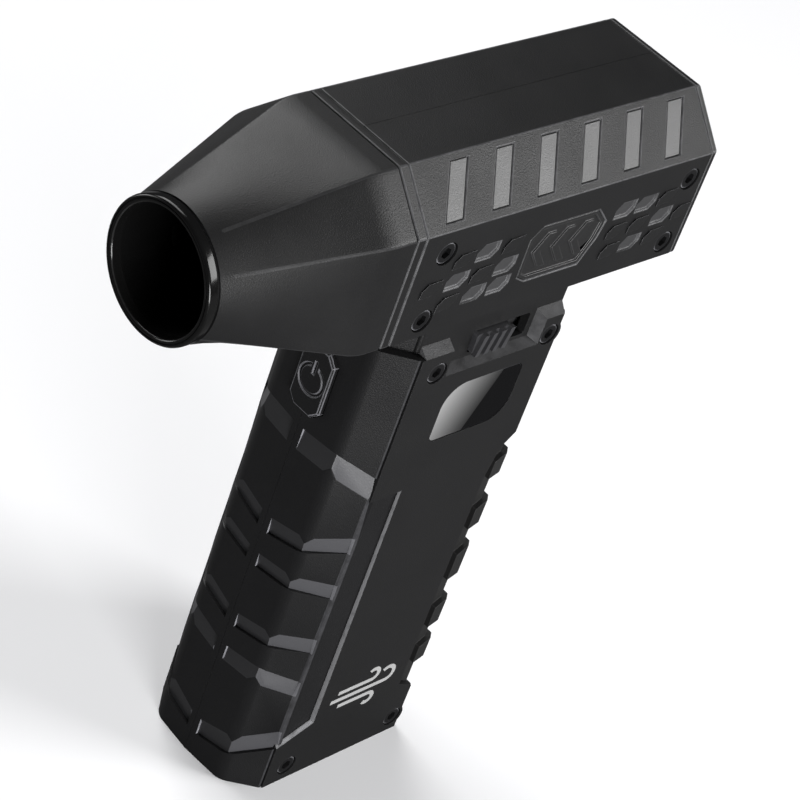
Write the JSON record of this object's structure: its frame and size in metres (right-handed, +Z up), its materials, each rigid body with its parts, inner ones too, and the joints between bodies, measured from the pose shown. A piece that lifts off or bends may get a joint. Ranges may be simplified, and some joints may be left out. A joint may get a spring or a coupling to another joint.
{
  "type": "handheld turbo blower",
  "caption": "Pistol-shaped cordless turbo blower with a faceted nozzle, six-sided head, ribbed grip, power button, speed slider and display.",
  "frame": {"origin": "middle of the handle's underside, on the face the blower stands on", "axes": "+Z up through the handle, the nozzle blows along -X, the slider and display are on the -Y side"},
  "size_m": [0.1446, 0.0506, 0.1948],
  "materials": {
    "shell_plastic": "fine spark-eroded grain, satin edges",
    "gloss_trim": "polished black",
    "inlay_plastic": "smooth satin grey",
    "trim_plastic": "satin black",
    "screw_steel": "black oxide",
    "filter_foam": "woven filter mesh",
    "frame_plastic": "plain moulded",
    "seal_rubber": "soft black",
    "fan_metal": "machined",
    "bearing_steel": "ground",
    "core_steel": "laminated",
    "coil_copper": "enamelled winding",
    "magnet": "plated",
    "grip_plastic": "soft-touch satin",
    "grip_rubber": "soft-touch rubber",
    "port_steel": "nickel plated",
    "cell_wrap": "shrink wrap",
    "board": "solder mask",
    "board_part": "moulded package",
    "button_plastic": "fine grain",
    "window_gloss": "polished black window"
  },
  "bodies": {
    "housing": {"nozzle_cone": "shell_plastic", "nozzle_rim": "gloss_trim", "collar_ring": "shell_plastic", "head_shell_left": "shell_plastic", "head_shell_right": "shell_plastic", "roof_inlays": "inlay_plastic", "side_badges": "trim_plastic", "head_screws": "screw_steel", "rear_cover": "shell_plastic", "intake_filter": "filter_foam", "front_bulkhead": "frame_plastic", "rear_bulkhead": "frame_plastic", "motor_duct": "frame_plastic", "duct_rings": "seal_rubber", "guide_vanes": "fan_metal", "hub_cone": "frame_plastic", "bearing_carrier_front": "fan_metal", "bearing_carrier_rear": "fan_metal", "ball_bearings": "bearing_steel", "stator_core": "core_steel", "stator_coils": "coil_copper", "grip_left": "grip_plastic", "grip_right": "grip_plastic", "handle_shell_left": "shell_plastic", "handle_shell_right": "shell_plastic", "handle_screws": "screw_steel", "rear_grip": "grip_rubber", "base_plate": "shell_plastic", "usb_port": "port_steel", "cell_holder_bottom": "frame_plastic", "cell_holder_middle": "frame_plastic", "cell_holder_top": "frame_plastic", "battery_cells": "cell_wrap", "cell_tabs": "port_steel", "main_board": "board", "board_parts": "board_part", "tact_switch": "board_part", "button_board": "board", "slide_switch": "board_part", "switch_board": "board", "display_window": "window_gloss", "display_board": "board"},
    "rotor": {"rotor_shaft": "bearing_steel", "rotor_magnet": "magnet", "impeller": "fan_metal", "impeller_nut": "bearing_steel"},
    "button": {"power_button": "button_plastic"},
    "slider": {"slider_knob": "button_plastic"}
  },
  "joints": [
    {"name": "rotor_spin", "type": "hinge", "parent": "housing", "child": "rotor", "pos_m": [0, 0, 0.17475], "axis": [1, 0, 0], "continuous": true},
    {"name": "power_press", "type": "slide", "parent": "housing", "child": "button", "axis": [1, 0, 0], "range_m": [0, 0.0008], "stiffness_N_per_m": 400},
    {"name": "speed_slide", "type": "slide", "parent": "housing", "child": "slider", "axis": [1, 0, 0], "range_m": [0, 0.007]}
  ]
}
